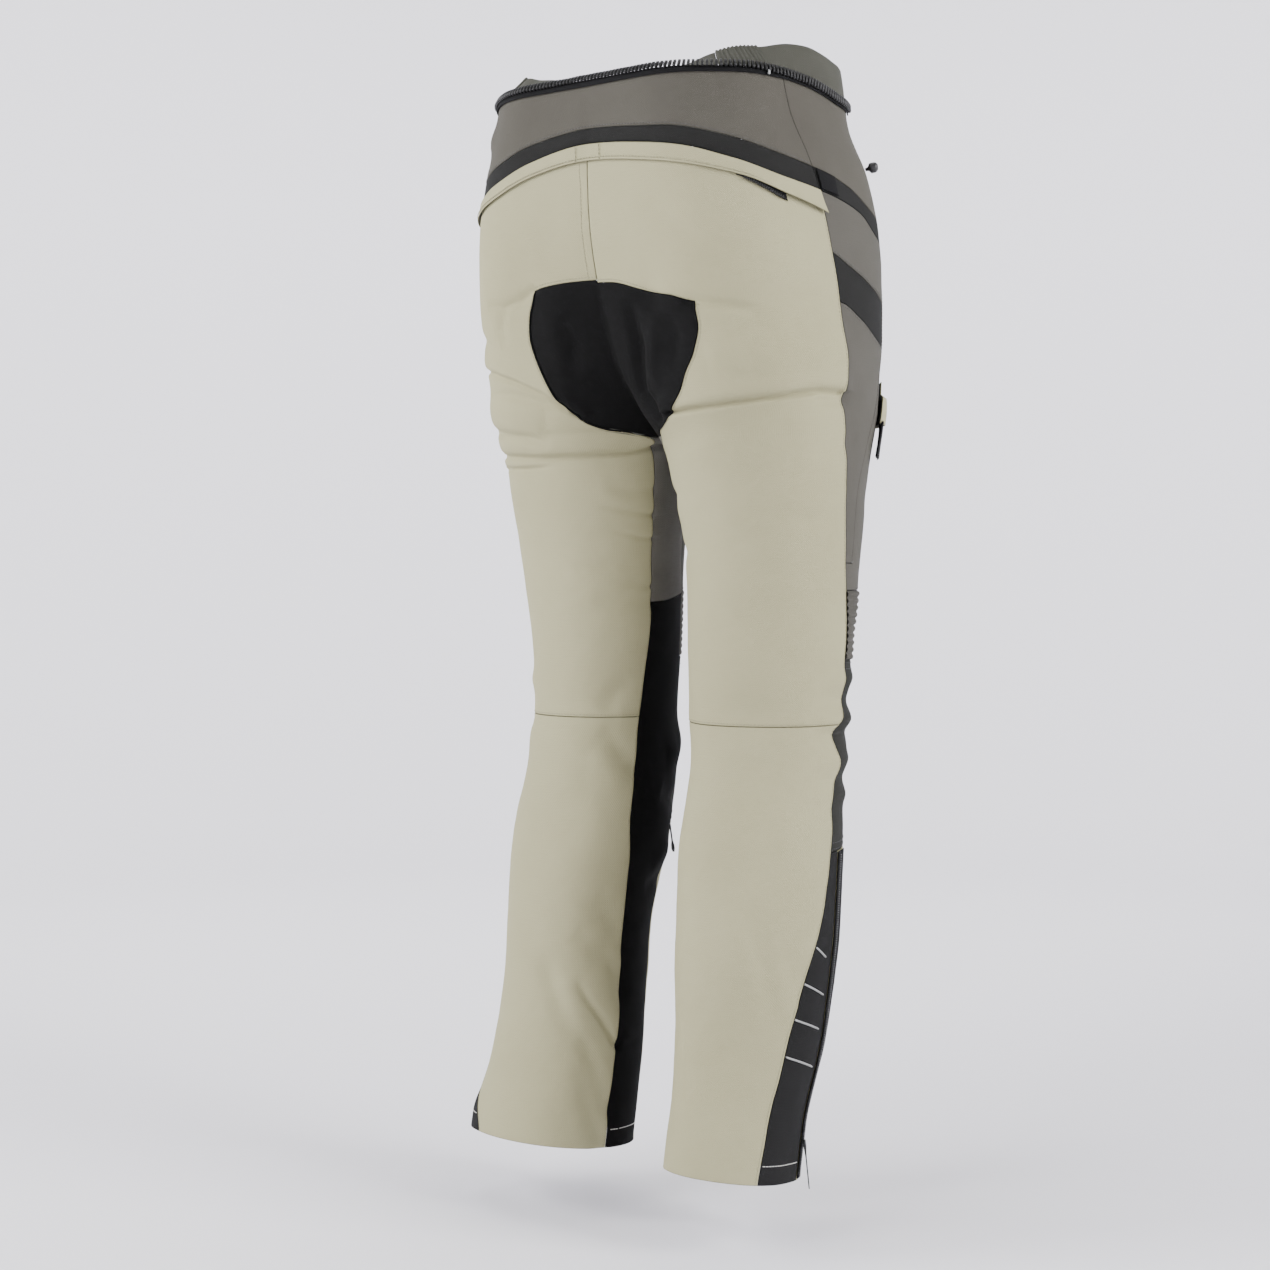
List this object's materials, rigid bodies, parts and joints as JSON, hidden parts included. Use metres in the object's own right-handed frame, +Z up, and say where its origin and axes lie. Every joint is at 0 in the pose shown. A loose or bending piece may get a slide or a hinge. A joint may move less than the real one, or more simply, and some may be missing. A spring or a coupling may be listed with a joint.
{
  "type": "motorcycle trousers",
  "caption": "Textile motorcycle trousers in beige, grey and black, hollow and filled out as worn, with a stretch seat patch, accordion knees, ankle zips and a jacket zip.",
  "frame": {"origin": "middle of the waist, level with the seam between yoke and waistband, where the wearer's waist holds the trousers up", "axes": "+Z up along the body, the wearer faces -Y, the wearer's left leg is at +X"},
  "size_m": [0.4131, 0.2695, 1.0803],
  "materials": {
    "beige_cloth": "beige woven polyester, matt",
    "grey_cloth": "warm grey woven polyester, matt",
    "black_cloth": "charcoal woven polyester, matt",
    "dark_grey_cloth": "dark grey woven polyester, matt",
    "black_stretch": "black brushed stretch cloth, matt",
    "olive_waistband": "olive grey softshell, matt",
    "zip_tape": "black woven zip tape with coarse moulded teeth",
    "black_plastic": "black cord with moulded end"
  },
  "bodies": {
    "root": {"ankle_pull_L": "black_plastic", "ankle_pull_R": "black_plastic", "ankle_zip_L": "zip_tape", "ankle_zip_R": "zip_tape", "calf_back_L": "beige_cloth", "calf_back_R": "beige_cloth", "calf_pull_L": "black_plastic", "calf_pull_R": "black_plastic", "fly_placket": "grey_cloth", "hip_cord_end_L": "black_plastic", "hip_cord_end_R": "black_plastic", "hip_side_L": "grey_cloth", "hip_side_R": "grey_cloth", "inner_calf_L": "black_stretch", "inner_calf_R": "black_stretch", "inner_thigh_L": "dark_grey_cloth", "inner_thigh_R": "dark_grey_cloth", "knee_panel_L": "black_cloth", "knee_panel_R": "black_cloth", "knee_ribs_L": "grey_cloth", "knee_ribs_R": "grey_cloth", "pocket_flap_L": "beige_cloth", "pocket_flap_R": "beige_cloth", "seat_band": "beige_cloth", "seat_patch": "black_stretch", "seat_zip": "zip_tape", "shin_front_L": "beige_cloth", "shin_front_R": "beige_cloth", "side_gusset_L": "dark_grey_cloth", "side_gusset_R": "dark_grey_cloth", "side_loop_L": "zip_tape", "side_loop_R": "zip_tape", "side_stripe_L": "black_cloth", "side_stripe_R": "black_cloth", "side_wedge_L": "grey_cloth", "side_wedge_R": "grey_cloth", "stripe_back": "black_cloth", "stripe_side_L": "black_cloth", "stripe_side_R": "black_cloth", "thigh_back_L": "beige_cloth", "thigh_back_R": "beige_cloth", "thigh_front_L": "grey_cloth", "thigh_front_R": "grey_cloth", "thigh_pocket_L": "black_cloth", "thigh_pocket_R": "black_cloth", "waist_tab": "olive_waistband", "waist_zip_tape": "zip_tape", "waistband_back": "olive_waistband", "waistband_front_L": "olive_waistband", "waistband_front_R": "olive_waistband", "waistband_ribs_L": "olive_waistband", "waistband_ribs_R": "olive_waistband", "yoke_back": "grey_cloth", "yoke_side_L": "grey_cloth", "yoke_side_R": "grey_cloth"}
  },
  "joints": []
}
